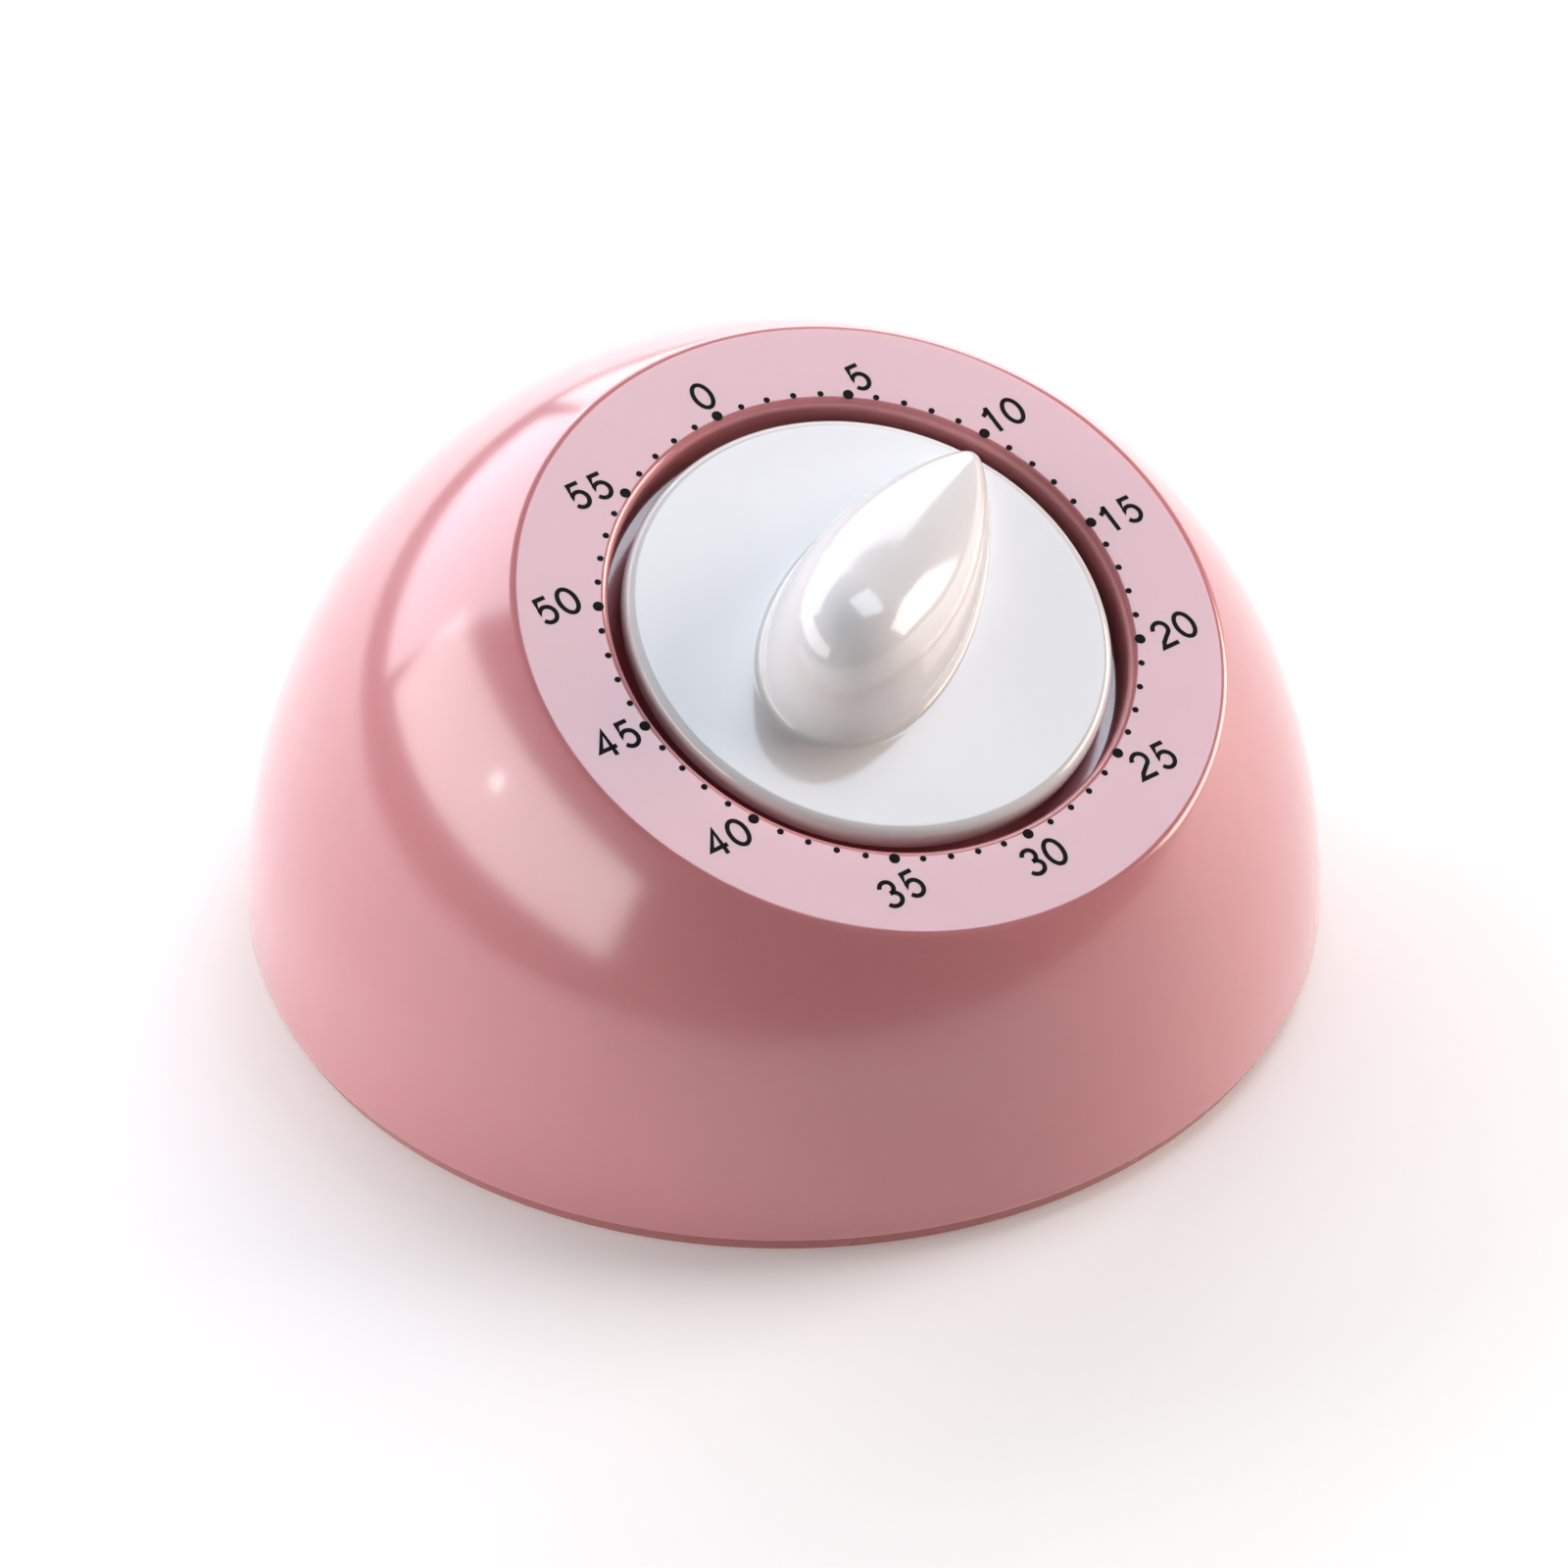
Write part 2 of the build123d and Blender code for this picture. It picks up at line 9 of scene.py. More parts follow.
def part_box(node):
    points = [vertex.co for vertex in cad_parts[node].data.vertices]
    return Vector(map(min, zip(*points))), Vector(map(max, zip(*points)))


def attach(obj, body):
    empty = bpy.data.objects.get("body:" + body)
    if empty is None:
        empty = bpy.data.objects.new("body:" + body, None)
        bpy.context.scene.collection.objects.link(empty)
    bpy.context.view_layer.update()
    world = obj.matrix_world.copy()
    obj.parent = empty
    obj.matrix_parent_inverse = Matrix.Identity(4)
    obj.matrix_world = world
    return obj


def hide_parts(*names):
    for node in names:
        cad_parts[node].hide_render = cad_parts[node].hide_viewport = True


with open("model.json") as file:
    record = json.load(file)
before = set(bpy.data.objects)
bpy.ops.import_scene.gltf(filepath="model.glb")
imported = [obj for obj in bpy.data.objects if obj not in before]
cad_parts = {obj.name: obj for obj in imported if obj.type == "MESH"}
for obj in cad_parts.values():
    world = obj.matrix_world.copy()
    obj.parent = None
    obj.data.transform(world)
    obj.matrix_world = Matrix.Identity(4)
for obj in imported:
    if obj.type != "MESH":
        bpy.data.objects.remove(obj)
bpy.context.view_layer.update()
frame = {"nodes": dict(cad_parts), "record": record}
mm = 0.001                    # sizes below are in millimetres, the scene is in metres
print("timer: frame loaded")


# where the dial is, from the knob's joint: its axis points into the case
dialFrame = {"jointDepth": 13.0}
knobJoint = next(j for j in frame["record"]["behaviour"]["joints"] if j["name"] == "knob_turn")
dialOut = -Vector(knobJoint["axis"]).normalized()
dialRight = Vector((1, 0, 0))
dialUp = dialOut.cross(dialRight)
dialCentre = Vector(knobJoint["pos_m"]) + dialOut * dialFrame["jointDepth"] * mm
dialPlace = Matrix((dialRight, dialUp, dialOut)).transposed().to_4x4()
dialPlace.translation = dialCentre
restAngle = -math.radians(knobJoint["range_deg"][0])      # pointer's angle at rest, clockwise from 0


# making meshes

def polar(radius, angle, height=0.0):
    return Vector((radius * math.cos(angle), radius * math.sin(angle), height))


def around(count, radius, height):
    # a level ring of points
    return [polar(radius, 2 * math.pi * i / count, height) for i in range(count)]


def skin(bm, rings, capStart=False, capEnd=False, closed=False):
    # joins rings of the same count into a tube, or into a closed ring of rings
    loops = [[bm.verts.new(p) for p in ring] for ring in rings]
    count = len(rings[0])
    pairs = list(zip(loops, loops[1:])) + ([(loops[-1], loops[0])] if closed else [])
    for lower, upper in pairs:
        for i in range(count):
            j = (i + 1) % count
            bm.faces.new((lower[i], lower[j], upper[j], upper[i]))
    for wanted, loop in ((capStart, loops[0]), (capEnd, loops[-1])):
        if wanted:
            pole = bm.verts.new(sum((v.co for v in loop), Vector()) / count)
            for i in range(count):
                bm.faces.new((loop[i], loop[(i + 1) % count], pole))


def roundCorner(before, corner, after, setback, steps):
    # rings of an arc that replaces the corner ring
    rings = []
    for step in range(steps + 1):
        t = step / steps
        ring = []
        for a, c, b in zip(before, corner, after):
            toA, toB = (a - c).normalized(), (b - c).normalized()
            weight = math.sqrt(max((1 - toA.dot(toB)) / 2, 0.0))
            shares = ((1 - t) ** 2, 2 * weight * t * (1 - t), t ** 2)
            total = (c + toA * setback) * shares[0] + c * shares[1] + (c + toB * setback) * shares[2]
            ring.append(total / sum(shares))
        rings.append(ring)
    return rings


def toObject(bm, name, place=None):
    if place is not None:
        bm.transform(place)
    mesh = bpy.data.meshes.new(name)
    bm.to_mesh(mesh)
    bm.free()
    piece = bpy.data.objects.new(name, mesh)
    bpy.context.scene.collection.objects.link(piece)
    return piece


def bakeModifiers(piece):
    # the evaluated result becomes the plain mesh
    graph = bpy.context.evaluated_depsgraph_get()
    mesh = bpy.data.meshes.new_from_object(piece.evaluated_get(graph))
    piece.modifiers.clear()
    piece.data = mesh
    return piece


def finishPiece(piece, body, material, smooth=True, replaced=()):
    piece.data.materials.clear()
    piece.data.materials.append(material)
    for face in piece.data.polygons:
        face.use_smooth = smooth
    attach(piece, body)
    if replaced:
        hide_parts(*replaced)
    return piece


# materials

def linear(hexColour):
    parts = [int(hexColour[i:i + 2], 16) / 255 for i in (0, 2, 4)]
    return [c / 12.92 if c <= 0.04045 else ((c + 0.055) / 1.055) ** 2.4 for c in parts] + [1.0]


def addNode(tree, kind, inputs=None, **settings):
    node = tree.nodes.new(kind)
    for name, value in settings.items():
        setattr(node, name, value)
    for socket, value in (inputs or {}).items():
        if isinstance(value, bpy.types.NodeSocket):
            tree.links.new(value, node.inputs[socket])
        else:
            node.inputs[socket].default_value = value
    return node


def startMaterial(name):
    material = bpy.data.materials.new(name)
    material.use_nodes = True
    tree = material.node_tree
    tree.nodes.clear()
    return material, tree, addNode(tree, "ShaderNodeTexCoord").outputs["Object"]


def endMaterial(tree, inputs):
    shader = addNode(tree, "ShaderNodeBsdfPrincipled", inputs)
    addNode(tree, "ShaderNodeOutputMaterial", {"Surface": shader.outputs["BSDF"]})


noiseSpan = {"low": 0.3, "high": 0.7}      # most values of a noise texture lie between these


def mouldedAbs(name, look):
    # injection-moulded ABS from a polished tool: even colour, wet gloss, a faint ripple in reflections
    material, tree, where = startMaterial(name)
    clouds = addNode(tree, "ShaderNodeTexNoise", {"Vector": where, "Scale": 1 / (look["cloudSize"] * mm),
                                                  "Detail": 3.0, "Roughness": 0.55})
    colour = addNode(tree, "ShaderNodeMix", {"Factor": clouds.outputs["Fac"], "A": linear(look["colourA"]),
                                             "B": linear(look["colourB"])}, data_type="RGBA")
    wipeStretch = addNode(tree, "ShaderNodeMapping", {"Vector": where, "Scale": look["wipeStretch"],
                                                      "Rotation": look["wipeTurn"]})
    wipes = addNode(tree, "ShaderNodeTexNoise", {"Vector": wipeStretch.outputs["Vector"],
                                                 "Scale": 1 / (look["wipeSize"] * mm), "Detail": 5.0})
    rough = addNode(tree, "ShaderNodeMapRange", {"Value": wipes.outputs["Fac"], "From Min": noiseSpan["low"],
                                                 "From Max": look["wipeTop"], "To Min": look["roughLow"],
                                                 "To Max": look["roughHigh"]})
    ripple = addNode(tree, "ShaderNodeTexNoise", {"Vector": where, "Scale": 1 / (look["rippleSize"] * mm),
                                                  "Detail": 2.0})
    grain = addNode(tree, "ShaderNodeTexNoise", {"Vector": where, "Scale": 1 / (look["grainSize"] * mm),
                                                 "Detail": 2.0})
    rippleBump = addNode(tree, "ShaderNodeBump", {"Height": ripple.outputs["Fac"], "Strength": 0.5,
                                                  "Distance": look["rippleDepth"] * mm})
    grainBump = addNode(tree, "ShaderNodeBump", {"Height": grain.outputs["Fac"], "Strength": 0.4,
                                                 "Distance": look["grainDepth"] * mm,
                                                 "Normal": rippleBump.outputs["Normal"]})
    endMaterial(tree, {"Base Color": colour.outputs["Result"], "Roughness": rough.outputs["Result"],
                       "Normal": grainBump.outputs["Normal"], "IOR": look["ior"],
                       "Subsurface Weight": look["milkiness"], "Subsurface Radius": look["bleed"],
                       "Subsurface Scale": look["bleedDepth"] * mm, "Coat Weight": look["polish"],
                       "Coat Roughness": look["polishRough"]})
    return material


roseLook = {"colourA": "D2898E", "colourB": "D68F94", "cloudSize": 14.0, "wipeSize": 5.0, "roughLow": 0.10,
            "roughHigh": 0.17, "rippleSize": 6.0, "rippleDepth": 0.012, "grainSize": 0.5, "grainDepth": 0.002,
            "wipeStretch": (1.0, 0.16, 1.0), "wipeTurn": (0.0, 0.4, 0.7), "wipeTop": 0.75, "ior": 1.54,
            "polish": 0.8, "polishRough": 0.2, "milkiness": 0.4, "bleed": (1.0, 0.45, 0.4), "bleedDepth": 2.5}
# the cover keeps a satin finish, and its darker rose is painted shade for the rim low under the dome's edge
coverShadeLook = dict(roseLook, colourA="AC6664", colourB="B16C6A", polish=0.0, roughLow=0.2, roughHigh=0.3)
whiteLook = dict(roseLook, colourA="E9E8EA", colourB="EEEDEE", cloudSize=10.0, roughLow=0.09, roughHigh=0.15,
                 polish=0.2, milkiness=0.1, bleed=(1.0, 0.9, 0.85), bleedDepth=0.8)
roseAbs = mouldedAbs("rose ABS, moulded gloss", roseLook)
coverAbs = mouldedAbs("rose ABS, satin, darkened as painted shade", coverShadeLook)
whiteAbs = mouldedAbs("white ABS, moulded gloss", whiteLook)

inkLook = {"colourA": "060505", "colourB": "100C0D", "mottle": 0.35, "roughLow": 0.75, "roughHigh": 0.95,
           "ior": 1.45, "specular": 0.3}


def padPrintedInk(name, look):
    # pad-printed ink: near black, slightly mottled where the film is thin
    material, tree, where = startMaterial(name)
    mottle = addNode(tree, "ShaderNodeTexNoise", {"Vector": where, "Scale": 1 / (look["mottle"] * mm),
                                                  "Detail": 4.0})
    colour = addNode(tree, "ShaderNodeMix", {"Factor": mottle.outputs["Fac"], "A": linear(look["colourA"]),
                                             "B": linear(look["colourB"])}, data_type="RGBA")
    rough = addNode(tree, "ShaderNodeMapRange", {"Value": mottle.outputs["Fac"], "From Min": noiseSpan["low"],
                                                 "From Max": noiseSpan["high"], "To Min": look["roughLow"],
                                                 "To Max": look["roughHigh"]})
    endMaterial(tree, {"Base Color": colour.outputs["Result"], "Roughness": rough.outputs["Result"],
                       "IOR": look["ior"], "Specular IOR Level": look["specular"]})
    return material


dialInk = padPrintedInk("black ink, pad printed", inkLook)

rubberLook = {"colourA": "9A9690", "colourB": "A8A49E", "speck": 0.6, "depth": 0.03, "rough": 0.75,
              "ior": 1.52}


def mouldedRubber(name, look):
    # moulded rubber: matt, finely pitted
    material, tree, where = startMaterial(name)
    pits = addNode(tree, "ShaderNodeTexNoise", {"Vector": where, "Scale": 1 / (look["speck"] * mm),
                                                "Detail": 5.0})
    colour = addNode(tree, "ShaderNodeMix", {"Factor": pits.outputs["Fac"], "A": linear(look["colourA"]),
                                             "B": linear(look["colourB"])}, data_type="RGBA")
    bump = addNode(tree, "ShaderNodeBump", {"Height": pits.outputs["Fac"], "Strength": 0.6,
                                            "Distance": look["depth"] * mm})
    endMaterial(tree, {"Base Color": colour.outputs["Result"], "Roughness": look["rough"], "IOR": look["ior"],
                       "Normal": bump.outputs["Normal"]})
    return material


feetRubber = mouldedRubber("grey rubber, moulded", rubberLook)


def workedMetal(name, look):
    # metal with fine lines from its working, and clouded tarnish
    material, tree, where = startMaterial(name)
    turned = addNode(tree, "ShaderNodeMapping", {"Vector": where, "Rotation": (look["tilt"], 0.0, 0.0),
                                                 "Scale": look["stretch"]})
    lines = addNode(tree, "ShaderNodeTexNoise", {"Vector": turned.outputs["Vector"],
                                                 "Scale": 1 / (look["lineGap"] * mm), "Detail": 4.0})
    clouds = addNode(tree, "ShaderNodeTexNoise", {"Vector": where, "Scale": 1 / (look["cloudSize"] * mm),
                                                  "Detail": 3.0})
    colour = addNode(tree, "ShaderNodeMix", {"Factor": clouds.outputs["Fac"], "A": linear(look["colourA"]),
                                             "B": linear(look["colourB"])}, data_type="RGBA")
    rough = addNode(tree, "ShaderNodeMapRange", {"Value": lines.outputs["Fac"], "From Min": noiseSpan["low"],
                                                 "From Max": noiseSpan["high"], "To Min": look["roughLow"],
                                                 "To Max": look["roughHigh"]})
    bump = addNode(tree, "ShaderNodeBump", {"Height": lines.outputs["Fac"], "Strength": 0.4,
                                            "Distance": look["depth"] * mm})
    endMaterial(tree, {"Base Color": colour.outputs["Result"], "Metallic": 1.0,
                       "Roughness": rough.outputs["Result"], "Normal": bump.outputs["Normal"]})
    return material


dialTilt = math.acos(dialOut.z)
stampedBrass = workedMetal("brass, stamped and tumbled", {
    "colourA": "C9A24E", "colourB": "DDBB6A", "tilt": dialTilt, "stretch": (1.0, 1.0, 1.0), "lineGap": 0.5,
    "cloudSize": 3.0, "roughLow": 0.22, "roughHigh": 0.38, "depth": 0.004})
turnedSteel = workedMetal("steel, turned", {
    "colourA": "B4B4B6", "colourB": "C8C8C8", "tilt": dialTilt, "stretch": (0.15, 0.15, 1.0), "lineGap": 0.12,
    "cloudSize": 2.0, "roughLow": 0.18, "roughHigh": 0.32, "depth": 0.002})
zincSteel = workedMetal("steel, stamped and zinc plated", {
    "colourA": "B9BBB6", "colourB": "CDCCC2", "tilt": dialTilt, "stretch": (1.0, 0.2, 1.0), "lineGap": 0.35,
    "cloudSize": 2.5, "roughLow": 0.28, "roughHigh": 0.45, "depth": 0.004})
bluedSteel = workedMetal("spring steel, blued strip", {
    "colourA": "3E4658", "colourB": "565C6A", "tilt": dialTilt, "stretch": (1.0, 1.0, 0.15), "lineGap": 0.2,
    "cloudSize": 1.5, "roughLow": 0.22, "roughHigh": 0.36, "depth": 0.002})
nickelSteel = workedMetal("steel, spun and nickel plated", {
    "colourA": "CFCCC6", "colourB": "DAD8D2", "tilt": dialTilt, "stretch": (0.2, 0.2, 1.0), "lineGap": 0.3,
    "cloudSize": 5.0, "roughLow": 0.08, "roughHigh": 0.18, "depth": 0.002})
print("timer: materials made")


# case: a dome cut by the dial plane, with a round well for the knob

caseShape = {
    "power": 2.0854,          # 2 would be an ellipse
    "waist": 1.07,            # height of the widest ring above the case's bottom edge
    "top": 48.44,             # height the dome would have without the dial
    "feet": 0.5,              # the case's bottom edge is this far above the table
    "bottom": 1.45,           # the shell ends here, above the cover's rim
    "wall": 1.8,
    "wellRadius": 20.8,
    "wellDepth": 3.6,
    "hubHole": 3.6,
    "edgeRound": 0.42,        # the roundings start this far from their corners
    "mouthRound": 0.8,
    "bottomRound": 0.2,
    "floorRound": 0.3,        # at the foot of the well's wall
    "roundSteps": 7,
    "smallSteps": 3,
    "segments": 256,
    "postSegments": 24,
    "domeRings": 44,
    "faceRings": (0.85, 0.6, 0.35),      # rings across the dial: 0 at the well, 1 at the dome's edge
    "edgeSearch": (18.0, 36.0),          # the dial's edge lies between these radii
    "halvings": 36,
    "crease": 35,             # degrees: sharper edges are shaded sharp
}
shellLow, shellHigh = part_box("dome_shell")
domeRadius = min(-shellLow.x, shellHigh.x, -shellLow.y, shellHigh.y) / mm
screwPosts = {"ring": 19.5, "angles": (30, 150, 270), "radius": 2.3, "hole": 0.8, "low": -8.0, "high": -5.2}
coverPosts = {"ring": 36.0, "angles": (90, 210, 330), "radius": 2.6, "hole": 1.1, "low": 2.4, "sink": 0.5}
stopRib = {"ring": 16.0, "angle": -90, "width": 0.9, "length": 3.0, "high": -2.5, "sink": 0.2}


def domeAcross(height, inset=0.0):
    # radius of the dome at a height above the case's bottom edge
    rise = caseShape["top"] - inset - caseShape["waist"]
    share = min(abs(height - caseShape["waist"]) / rise, 1.0)
    return (domeRadius - inset) * (1 - share ** caseShape["power"]) ** (1 / caseShape["power"])


def dialPoint(radius, angle, lift=0.0):
    return dialPlace @ (polar(radius, angle, lift) * mm)


def dialEdge(angle, inset):
    # where the dial plane leaves the dome, by halving the gap
    near, far = caseShape["edgeSearch"]
    for _ in range(caseShape["halvings"]):
        middle = (near + far) / 2
        point = dialPoint(middle, angle, -inset) / mm
        if math.hypot(point.x, point.y) < domeAcross(point.z - caseShape["feet"], inset):
            near = middle
        else:
            far = middle
    return near


def domeSide(edge, inset):
    # rings up the dome from its bottom, stopping one step below the dial's edge
    power, waist = caseShape["power"], caseShape["waist"]
    rise = caseShape["top"] - inset - waist
    lowest = math.asin(((caseShape["bottom"] - waist) / rise) ** (power / 2))
    rings = []
    for step in range(caseShape["domeRings"]):
        ring = []
        for point in edge:
            highest = math.asin(((point.z / mm - caseShape["feet"] - waist) / rise) ** (power / 2))
            t = lowest + (highest - lowest) * step / caseShape["domeRings"]
            across = (domeRadius - inset) * math.cos(t) ** (2 / power)
            up = caseShape["feet"] + waist + rise * math.sin(t) ** (2 / power)
            ring.append(polar(across, math.atan2(point.y, point.x), up) * mm)
        rings.append(ring)
    return rings


def post(bm, outer, inner):
    # a screw boss: outer and inner are (low ring, high ring)
    skin(bm, [outer[0], outer[1], inner[1], inner[0]], closed=True)


def buildCase():
    s = caseShape
    angles = [2 * math.pi * i / s["segments"] for i in range(s["segments"])]

    def level(radius, lift):
        return [dialPoint(radius, angle, lift) for angle in angles]

    def spread(radii, share, lift):
        return [dialPoint(s["wellRadius"] + (radius - s["wellRadius"]) * share, angle, lift)
                for radius, angle in zip(radii, angles)]

    outerRadii = [dialEdge(angle, 0.0) for angle in angles]
    innerRadii = [dialEdge(angle, s["wall"]) for angle in angles]
    outerEdge, innerEdge = spread(outerRadii, 1, 0), spread(innerRadii, 1, -s["wall"])
    outside, inside = domeSide(outerEdge, 0.0), domeSide(innerEdge, s["wall"])
    floor, under = -s["wellDepth"], -s["wellDepth"] - s["wall"]
    mouth, cup = s["wellRadius"], s["wellRadius"] + s["wall"]
    steps, fewSteps = s["roundSteps"], s["smallSteps"]
    face = [spread(outerRadii, share, 0) for share in s["faceRings"]]
    rings = roundCorner(inside[0], outside[0], outside[1], s["bottomRound"] * mm, fewSteps) + outside[1:]
    rings += roundCorner(outside[-1], outerEdge, face[1], s["edgeRound"] * mm, steps) + face
    rings += roundCorner(face[-1], level(mouth, 0), level(mouth, floor / 2), s["mouthRound"] * mm, steps)
    rings += [level(mouth, floor / 2)]
    rings += roundCorner(level(mouth, floor / 2), level(mouth, floor), level(mouth / 2, floor),
                         s["floorRound"] * mm, fewSteps)
    rings += [level(mouth * 0.8, floor), level(mouth / 2, floor), level(s["hubHole"], floor),
              level(s["hubHole"], under), level(cup / 2, under), level(cup, under), level(cup, -s["wall"])]
    rings += [spread(innerRadii, 0.7, -s["wall"]), innerEdge] + inside[::-1]
    bm = bmesh.new()
    skin(bm, rings, closed=True)
    for angle in screwPosts["angles"]:
        x, y, _ = polar(screwPosts["ring"], math.radians(angle))
        walls = []
        for radius in (screwPosts["radius"], screwPosts["hole"]):
            outline = around(s["postSegments"], radius, 0)
            walls.append([[dialPlace @ (Vector((x, y, z)) * mm + p * mm) for p in outline]
                          for z in (screwPosts["low"], screwPosts["high"])])
        post(bm, *walls)
    for angle in coverPosts["angles"]:
        middle = polar(coverPosts["ring"], math.radians(angle))
        walls = []
        for radius in (coverPosts["radius"], coverPosts["hole"]):
            low = [middle + p for p in around(s["postSegments"], radius, 0)]
            high = []
            for p in low:
                reach = min(p.xy.length / (domeRadius - s["wall"]), 1.0) ** s["power"]
                rise = s["top"] - s["wall"] - s["waist"]
                top = s["waist"] + rise * (1 - reach) ** (1 / s["power"]) + coverPosts["sink"]
                high.append(Vector((p.x, p.y, top)))
            low = [Vector((p.x, p.y, coverPosts["low"])) for p in low]
            walls.append([[(p + Vector((0, 0, s["feet"]))) * mm for p in ring] for ring in (low, high)])
        post(bm, *walls)
    x, y, _ = polar(stopRib["ring"], math.radians(stopRib["angle"]))
    halfWidth, halfLength = stopRib["width"] / 2, stopRib["length"] / 2
    ribLevels = (floor - stopRib["sink"], stopRib["high"])
    ribRings = [[dialPlace @ (Vector((x + a * halfWidth, y + b * halfLength, z)) * mm)
                 for a, b in ((1, 1), (-1, 1), (-1, -1), (1, -1))] for z in ribLevels]
    skin(bm, ribRings, capStart=True, capEnd=True)
    bmesh.ops.recalc_face_normals(bm, faces=bm.faces)
    return toObject(bm, "caseShell")


def shadeByAngle(piece, degrees):
    # flat faces stay flat: edges sharper than this are marked sharp
    bm = bmesh.new()
    bm.from_mesh(piece.data)
    limit = math.radians(degrees)
    for edge in bm.edges:
        edge.smooth = len(edge.link_faces) == 2 and edge.calc_face_angle(0.0) < limit
    bm.to_mesh(piece.data)
    bm.free()


caseShell = buildCase()
finishPiece(caseShell, "case", roseAbs, replaced=["dome_shell"])
shadeByAngle(caseShell, caseShape["crease"])
print("timer: case made")


# base cover: the thin rim under the shell, screw seats, foot seats and sound slots

coverShape = {
    "profile": [(30.0, 0.6), (40.2, 0.6), (40.8, 0.0), (41.2, 0.0), (42.2, 0.0), (42.55, 0.12), (42.95, 1.0),
                (43.0, 1.3), (42.6, 1.35), (41.3, 1.35), (41.3, 3.4), (39.8, 3.4), (39.8, 2.2), (30.0, 2.2)],
    "segments": 256, "crease": 35,
    "below": -1.0,            # cutters start here, under the cover
    "screwCircle": 36.0, "firstScrew": 90, "screwHole": 1.4, "holeFrom": 0.9, "holeTo": 3.0,
    "screwSeat": 2.6, "seatTo": 1.3,
    "footCircle": 33.0, "firstFoot": 30, "footSeat": 4.1, "footTo": 0.9,
    "slotGap": 5.0, "slotCount": 5, "slotWidth": 2.0, "slotLength": 20.0, "slotMiddle": 2.0, "slotTo": 3.5,
}


def cutter(name, outline, low, high):
    # upright prism from an outline of points in mm above the case's bottom edge
    bm = bmesh.new()
    lift = caseShape["feet"]
    rings = [[Vector((p[0], p[1], z + lift)) * mm for p in outline] for z in (low, high)]
    skin(bm, rings, capStart=True, capEnd=True)
    bmesh.ops.recalc_face_normals(bm, faces=bm.faces)
    return toObject(bm, name)


def stadium(x, y, width, length, count=12):
    # slot outline with round ends, along y
    points = []
    for end in (1, -1):
        for i in range(count + 1):
            turn = math.pi * i / count + (0 if end > 0 else math.pi)
            points.append((x + width / 2 * math.cos(turn),
                           y + end * (length - width) / 2 + width / 2 * math.sin(turn)))
    return points


def circle(x, y, radius, count=48):
    return [(x + radius * math.cos(2 * math.pi * i / count), y + radius * math.sin(2 * math.pi * i / count))
            for i in range(count)]


def buildCover():
    s = coverShape
    bm = bmesh.new()
    rings = [[p * mm for p in around(s["segments"], radius, height + caseShape["feet"])]
             for radius, height in s["profile"]]
    skin(bm, rings, capStart=True, capEnd=True)
    bmesh.ops.recalc_face_normals(bm, faces=bm.faces)
    piece = toObject(bm, "baseCover")
    cutters = []
    for i in range(3):
        x, y, _ = polar(s["screwCircle"], math.radians(s["firstScrew"] + 120 * i))
        cutters.append(cutter("seat", circle(x, y, s["screwSeat"]), s["below"], s["seatTo"]))
        cutters.append(cutter("hole", circle(x, y, s["screwHole"]), s["holeFrom"], s["holeTo"]))
        x, y, _ = polar(s["footCircle"], math.radians(s["firstFoot"] + 120 * i))
        cutters.append(cutter("footSeat", circle(x, y, s["footSeat"]), s["below"], s["footTo"]))
    for i in range(s["slotCount"]):
        offset = (i - (s["slotCount"] - 1) / 2) * s["slotGap"]
        length = s["slotLength"] - abs(offset) + s["slotWidth"]
        outline = stadium(offset, s["slotMiddle"], s["slotWidth"], length)
        cutters.append(cutter("slot", outline, s["below"], s["slotTo"]))
    for tool in cutters:
        cut = piece.modifiers.new("cut", "BOOLEAN")
        cut.operation = "DIFFERENCE"
        cut.solver = "EXACT"
        cut.object = tool
    bakeModifiers(piece)
    for tool in cutters:
        bpy.data.objects.remove(tool)
    return piece


baseCover = buildCover()
finishPiece(baseCover, "case", coverAbs, replaced=["base_cover"])
shadeByAngle(baseCover, coverShape["crease"])
print("timer: cover made")


# knob: a disc with a teardrop grip, one moulding with its hub

knobShape = {
    "discRadius": 19.54, "discEdge": 0.9, "discThick": 2.0, "underEdge": 0.2, "underRing": 1.0,
    "hubRadius": 3.0, "hubDepth": 7.6, "hubEdge": 0.3, "boreRadius": 1.53, "boreTop": 0.8,
    "segments": 288, "edgeSteps": 8, "lipSteps": 6, "levels": 36, "crease": 50,
    "flatRings": (0.04, 0.15, 0.35, 0.6, 0.85, 0.97),      # 0 at the disc's edge, 1 at the grip's outline
    "gripTip": 19.2, "gripBack": -13.2,       # along the pointer, from the dial's middle
    "gripHalf": 9.2, "taper": 0.7, "nose": 0.05,
    "crown": -3.5,                            # where the ridge is roundest
    "backHeight": 11.5, "tipHeight": 3.8, "fall": 1.3,
    "crossPower": 2.3, "endPower": 2.6,       # 2 would be elliptical
    "lip": 0.7,                               # hollow round at the foot of the grip
}


def gripRim(t):
    # teardrop outline, t from 0 at the tip all the way round
    s = knobShape
    middle = (s["gripTip"] + s["gripBack"]) / 2
    along = middle + (s["gripTip"] - middle) * math.cos(t)
    half = s["gripHalf"] * math.sin(t) * (math.sin(t / 2) ** 2 + s["nose"]) ** (s["taper"] / 2)
    return Vector((along, half, 0.0))


